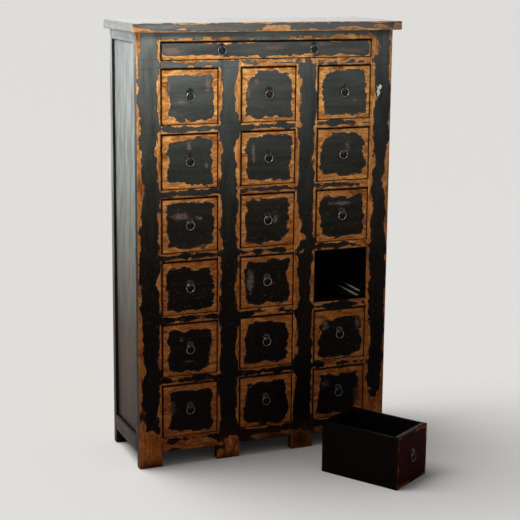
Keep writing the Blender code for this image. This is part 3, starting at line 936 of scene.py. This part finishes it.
def back_plank_sides(points):
    """The back planks: bare behind, dark as painted shade on the side that faces the drawers."""
    return points[:, 1] - points[:, 1].mean()


back_low, back_high = node_layout_box("back_panel")
plank_width = (back_high[0] - back_low[0]) / BACK_PLANKS
for number in range(BACK_PLANKS):
    low = (back_low[0] + number * plank_width + TOUCH, back_low[1], back_low[2])
    high = (back_low[0] + (number + 1) * plank_width - TOUCH, back_high[1], back_high[2])
    frame_board(f"back_plank_{number + 1}", (low, high), 2, back_wood,
                steps=(0.03, 0.009, 0.03), wear=back_plank_sides, radius=0.0018, replaces=["back_panel"])


def track_wear_and_highlight(points):
    """Bare tracks on the runners where the drawers' sides slide, partly a painted highlight, fading into
    the depth as painted shade.
    """
    x, y, _ = points.T
    from_stile = 0.008
    half_width = 0.006
    fade = 0.045 * np.maximum(y - TRACK_FADE_START, 0)
    wear = np.full(len(points), -1.0)
    for stile in range(1, COLUMNS + 2):
        left = (stile - 1) * COLUMN_PITCH
        for middle in (left - from_stile, left + STILE_WIDTH + from_stile):
            wear = np.maximum(wear, half_width - np.abs(x - middle) - fade)
    return wear


def guide_wear_and_highlight(points):
    """The guides' upper arrises, rubbed light by the drawers and partly a painted highlight, fading into
    the depth as painted shade.
    """
    x, y, z = points.T
    width = 0.0025
    edge = np.minimum(np.abs(x - x.min()), np.abs(x - x.max()))
    fade = 0.022 * np.maximum(y - TRACK_FADE_START, 0)
    return width - edge - 0.6 * (z.max() - z) - fade


def runner_frame(number, rail_bottom, top, guided):
    """The front rails, runners, guides and rear rail under one row of drawers."""
    node = f"runner_frame_{number}"
    under = top - RUNNER_THICKNESS
    inner_left = SIDE_THICKNESS + TOUCH
    inner_right = BODY_WIDTH - inner_left
    for column in range(1, COLUMNS + 1):
        left = (column - 1) * COLUMN_PITCH + STILE_WIDTH + TOUCH
        right = left + OPENING_WIDTH - 2 * TOUCH
        box = ((left, RAIL_SETBACK, rail_bottom), (right, RAIL_DEPTH, top))
        frame_board(f"front_rail_{number}_{column}", box, 0, front_lacquer, replaces=[node])
    for stile in range(1, COLUMNS + 2):
        left = (stile - 1) * COLUMN_PITCH
        low_x = max(inner_left, left - RUNNER_REACH)
        high_x = min(inner_right, left + STILE_WIDTH + RUNNER_REACH)
        box = ((low_x, RUNNER_START, under), (high_x, REAR_RAIL_FRONT - TOUCH, top))
        frame_board(f"runner_{number}_{stile}", box, 1, runner_wood,
                    steps=(0.003, 0.03, 0.012), wear=track_wear_and_highlight, replaces=[node])
        if stile in guided:
            low_x = max(inner_left, left)
            high_x = min(inner_right, left + STILE_WIDTH)
            box = ((low_x, RUNNER_START, top + TOUCH), (high_x, RUNNER_END, top + GUIDE_HEIGHT))
            frame_board(f"guide_{number}_{stile}", box, 1, runner_wood,
                        steps=(0.005, 0.03, 0.005), wear=guide_wear_and_highlight, replaces=[node])
    box = ((inner_left, REAR_RAIL_FRONT, under), (inner_right, RUNNER_END, top))
    frame_board(f"rear_rail_{number}", box, 0, dark_wood,
                steps=(0.04, 0.03, 0.012), wear=UNWORN, replaces=[node])


runner_frame(0, FIRST_OPENING_TOP, WIDE_OPENING[2], (1, COLUMNS + 1))
for row in range(1, ROWS + 1):
    row_bottom = FIRST_OPENING_TOP - (row - 1) * ROW_PITCH - OPENING_HEIGHT
    rail_low = SKIRT_BOTTOM if row == ROWS else row_bottom - ROW_PITCH + OPENING_HEIGHT
    runner_frame(row, rail_low, row_bottom, range(1, COLUMNS + 2))


# ---- drawers and their pulls
def turned(name, centre, profile, sides=40):
    """A round closed form whose axis is Y, from (radius, depth) pairs that start and end on the axis."""
    vertices = [(0.0, profile[0][1], 0.0), (0.0, profile[-1][1], 0.0)]
    faces = []
    rows = len(profile) - 2
    for step in range(sides):
        angle = 2 * math.pi * step / sides
        for radius, depth in profile[1:-1]:
            vertices.append((radius * math.sin(angle), depth, radius * math.cos(angle)))
    for step in range(sides):
        here = 2 + step * rows
        ahead = 2 + (step + 1) % sides * rows
        faces.append((0, here, ahead))
        faces.append((1, ahead + rows - 1, here + rows - 1))
        for row in range(rows - 1):
            faces.append((here + row, here + row + 1, ahead + row + 1, ahead + row))
    return smooth_mesh(name, [tuple(Vector(vertex) + Vector(centre)) for vertex in vertices], faces)


def loop_mesh(name, centre, radius, wire, plane="XZ", segments=56, around_wire=14, uneven=0.0):
    """A closed ring of round wire with a slightly uneven, hand-made section."""
    vertices = []
    faces = []
    for step in range(segments):
        angle = 2 * math.pi * step / segments
        spot = Vector((3 * math.cos(angle), 3 * math.sin(angle), radius * 900))
        local_wire = wire * (1 - uneven * (0.5 + 0.5 * noise.noise(spot)))
        for part in range(around_wire):
            turn = 2 * math.pi * part / around_wire
            reach = radius + local_wire * math.cos(turn)
            across = local_wire * math.sin(turn)
            along_a = reach * math.sin(angle)
            along_b = reach * math.cos(angle)
            point = (along_a, across, along_b) if plane == "XZ" else (across, along_a, along_b)
            vertices.append(tuple(Vector(point) + Vector(centre)))
    for step in range(segments):
        ahead = (step + 1) % segments
        for part in range(around_wire):
            beside = (part + 1) % around_wire
            face = (
                step * around_wire + part, step * around_wire + beside,
                ahead * around_wire + beside, ahead * around_wire + part,
            )
            faces.append(face if plane == "XZ" else face[::-1])
    return smooth_mesh(name, vertices, faces)


def add_iron(mesh, body, place, material):
    """An iron piece given in its drawer's own frame."""
    points = np.array([vertex.co for vertex in mesh.vertices])
    store(mesh, "local", points + next(seeds) * 0.37)
    store(mesh, "tone", np.full(len(points), place.translation.z / TOTAL_HEIGHT))
    return add_piece(mesh, material, body, place)


def add_pull(drawer, ring, place, x, pivot_z, plate_radius):
    """A rosette, a staple eye and a ring that hangs from it."""
    profile = (
        (0.0, 0.0012), (plate_radius, 0.0012), (plate_radius, -0.0006), (plate_radius * 0.94, -0.0011),
        (plate_radius * 0.72, -0.0012), (plate_radius * 0.62, -0.0016), (plate_radius * 0.30, -0.0016),
        (0.0, -0.0016),
    )
    suffix = ring.replace("ring_", "")
    plate = turned(f"rosette_{suffix}", (x, 0.0, pivot_z + PLATE_LIFT), profile)
    add_iron(plate, drawer, place, plate_iron)
    eye_centre = (x, -PIVOT_STANDOFF, pivot_z + PLATE_LIFT)
    eye = loop_mesh(f"eye_{suffix}", eye_centre, EYE_RADIUS, EYE_WIRE, "YZ", 28, 10)
    add_iron(eye, drawer, place, plate_iron)
    ring_centre = (x, -PIVOT_STANDOFF, pivot_z - RING_RADIUS)
    hoop = loop_mesh(f"{ring}_hoop", ring_centre, RING_RADIUS, RING_WIRE, uneven=0.25)
    piece = add_iron(hoop, ring, place, iron)
    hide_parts(ring)


def add_drawer(label, width, height, wall, place, tone_low, pulls, plate_radius, rubs=()):
    """A drawer of five boards and its pulls, in a frame at the middle of its front's lower edge."""
    node = f"drawer_{label}"
    half = width / 2
    rectangle = (-half, half, 0.0, height)
    body_top = height - BODY_DROP

    def board(part, low, high, grain, material=dark_wood, steps=(0.025, 0.03, 0.025),
              worn=None, replaces=()):
        mesh, points = board_mesh(f"{node}_{part}", low, high, steps, 0.0015, 0.0009)
        x, y, z = points.T
        tone = np.clip((tone_low + z) / TOTAL_HEIGHT, 0, 1)
        rub = 0.0
        shade_and_dirt = 0.0
        wear = UNWORN
        if worn:
            turned_in = np.maximum(y - DRAWER_FACE_DEPTH, 0)
            wear = inside_wear(x, z, rectangle, worn) - WEAR_TRIM - TURN_FADE * turned_in
            rub = spots(x, z, rubs)
            shade_and_dirt = np.maximum(gap_shadow(x, z, rectangle), pull_shadow(x, z, pulls))
        across = (place.translation.x - LEFT + x) / BODY_WIDTH
        dress(mesh, points, grain, next(seeds), wear, tone, rub, shade_and_dirt, across=across)
        add_piece(mesh, material, node, place, replaces)

    fine = (0.0045, 0.006, 0.0045)
    face = red_lacquer if label == "floor" else front_lacquer
    widths = worn_widths(DRAWER_WEAR, DRAWER_TRIMS, label)
    behind_front = FRONT_THICKNESS + TOUCH
    back_start = DRAWER_LENGTH - wall
    inner = half - wall - TOUCH
    board("front", (-half, 0.0, 0.0), (half, FRONT_THICKNESS, height),
          0, face, fine, widths, [node])
    for side, low_x in (("left", -half), ("right", half - wall)):
        board(f"side_{side}", (low_x, behind_front, 0.0), (low_x + wall, DRAWER_LENGTH, body_top), 1)
    board("back", (-inner, back_start, 0.0), (inner, DRAWER_LENGTH, body_top), 0)
    board("bottom", (-inner, behind_front, 0.0), (inner, back_start - TOUCH, DRAWER_BOTTOM), 1)
    for ring, x, pivot_z in pulls:
        add_pull(node, ring, place, x, pivot_z, plate_radius)


pivot_height = DRAWER_HEIGHT / 2 + RING_RADIUS
for name, (left, right, bottom, top) in OPENINGS:
    if name == "wide":
        place = LAYOUT @ Matrix.Translation((BODY_WIDTH / 2, 0.0, bottom + BOTTOM_CLEARANCE))
        wide_pivot = WIDE_HEIGHT / 2 + RING_RADIUS
        pulls = [(f"ring_wide_{side}", x, wide_pivot) for side, x in zip(("left", "right"), WIDE_PULLS_X)]
        add_drawer("wide", WIDE_WIDTH, WIDE_HEIGHT, WIDE_WALL, place, bottom - WIDE_TONE_DROP, pulls,
                   WIDE_PLATE_RADIUS, WIDE_RUBS)
    elif name == "r4_c3":
        along = Vector((math.cos(FLOOR_TURN), math.sin(FLOOR_TURN), 0.0))
        corner = Matrix.Translation(FLOOR_CORNER + along * DRAWER_WIDTH / 2)
        place = LAYOUT @ corner @ Matrix.Rotation(FLOOR_TURN, 4, "Z")
        pulls = [("ring_floor", 0.0, pivot_height)]
        add_drawer("floor", DRAWER_WIDTH, DRAWER_HEIGHT, WALL, place, FLOOR_TONE_LOW, pulls, PLATE_RADIUS)
    else:
        place = LAYOUT @ Matrix.Translation(((left + right) / 2, 0.0, bottom + BOTTOM_CLEARANCE))
        pulls = [(f"ring_{name}", 0.0, pivot_height)]
        add_drawer(name, DRAWER_WIDTH, DRAWER_HEIGHT, WALL, place, bottom, pulls, PLATE_RADIUS,
                   DRAWER_RUBS.get(name, ()))


# ---- floor, light and camera
def studio():
    """A plain pale floor, four soft lamps that light all but the floor, a soft sun, a pale surround."""
    mesh = bpy.data.meshes.new("studio_floor")
    reach = 400.0
    corners = [(-reach, -reach, 0), (reach, -reach, 0), (reach, reach, 0), (-reach, reach, 0)]
    mesh.from_pydata(corners, [], [(0, 1, 2, 3)])
    ground = Tree("pale_floor")
    mesh.materials.append(ground.set(Base_Color=(0.80, 0.785, 0.76), Roughness=0.8, Specular_IOR_Level=0.2))
    floor = new_object("studio_floor", mesh)
    floor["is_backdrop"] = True
    # Name, place, aim, width, height, power, and whether it lights diffusely too
    lights = (
        ("key", (-1.7, -2.1, 3.0), (0.0, 0.0, 1.0), 1.2, 1.2, 62.0, True),
        ("side_sheen", (-3.4, 2.6, 1.9), (-0.4, 0.25, 1.0), 3.2, 2.6, 78.0, True),
        ("top_sheen", (1.4, 5.0, 2.2), (0.2, 0.0, 1.4), 6.5, 2.6, 150.0, False),
        ("fill", (2.8, -3.4, 2.2), (0.1, 0.0, 0.8), 2.5, 2.5, 5.0, True),
    )
    floor_only = bpy.data.collections.new("floor_only")
    floor_only.objects.link(floor)
    floor_only.collection_objects[0].light_linking.link_state = "EXCLUDE"
    for name, place, aim, width, height, power, diffuse in lights:
        data = bpy.data.lights.new(name, "AREA")
        data.shape = "RECTANGLE"
        data.size = width
        data.size_y = height
        data.energy = power
        lamp = new_object(name, data)
        lamp.location = place
        lamp.rotation_euler = (Vector(aim) - Vector(place)).to_track_quat("-Z", "Y").to_euler()
        lamp.visible_camera = False
        lamp.visible_diffuse = diffuse
        lamp.light_linking.receiver_collection = floor_only
    data = bpy.data.lights.new("skylight", "SUN")
    data.energy = 2.7
    data.angle = math.radians(50)
    skylight = new_object("skylight", data)
    skylight.rotation_euler = Vector((0.45, -0.35, -1.0)).to_track_quat("-Z", "Y").to_euler()
    world = bpy.data.worlds.new("studio_surround")
    world.use_nodes = True
    nodes = world.node_tree.nodes
    seen = nodes.new("ShaderNodeLightPath")
    shade = nodes.new("ShaderNodeMix")
    shade.data_type = "RGBA"
    lighting_grey = (0.20, 0.20, 0.20, 1.0)
    backdrop_grey = (0.80, 0.80, 0.79, 1.0)
    shade.inputs[MIX_FIRST].default_value = lighting_grey
    shade.inputs[MIX_SECOND].default_value = backdrop_grey
    world.node_tree.links.new(seen.outputs["Is Camera Ray"], shade.inputs[0])
    world.node_tree.links.new(shade.outputs[MIX_RESULT], nodes["Background"].inputs["Color"])
    bpy.context.scene.world = world
    bpy.context.scene.view_settings.view_transform = "Standard"


def camera():
    """A long lens a little above the cabinet, from its left front."""
    place = Vector((-1.6784, -3.9434, 1.6320))
    yaw = math.radians(22.321)
    pitch = math.radians(11.2227)
    roll = math.radians(-0.5205)
    aim = Matrix.Rotation(-yaw, 4, "Z") @ Matrix.Rotation(math.pi / 2 - pitch, 4, "X")
    data = bpy.data.cameras.new("camera")
    data.sensor_width = 36.0
    data.lens = 93.478
    data.shift_y = -0.055
    view = new_object("camera", data)
    view.matrix_world = Matrix.Translation(place) @ aim @ Matrix.Rotation(-roll, 4, "Z")
    bpy.context.scene.camera = view


studio()
camera()

low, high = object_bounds()
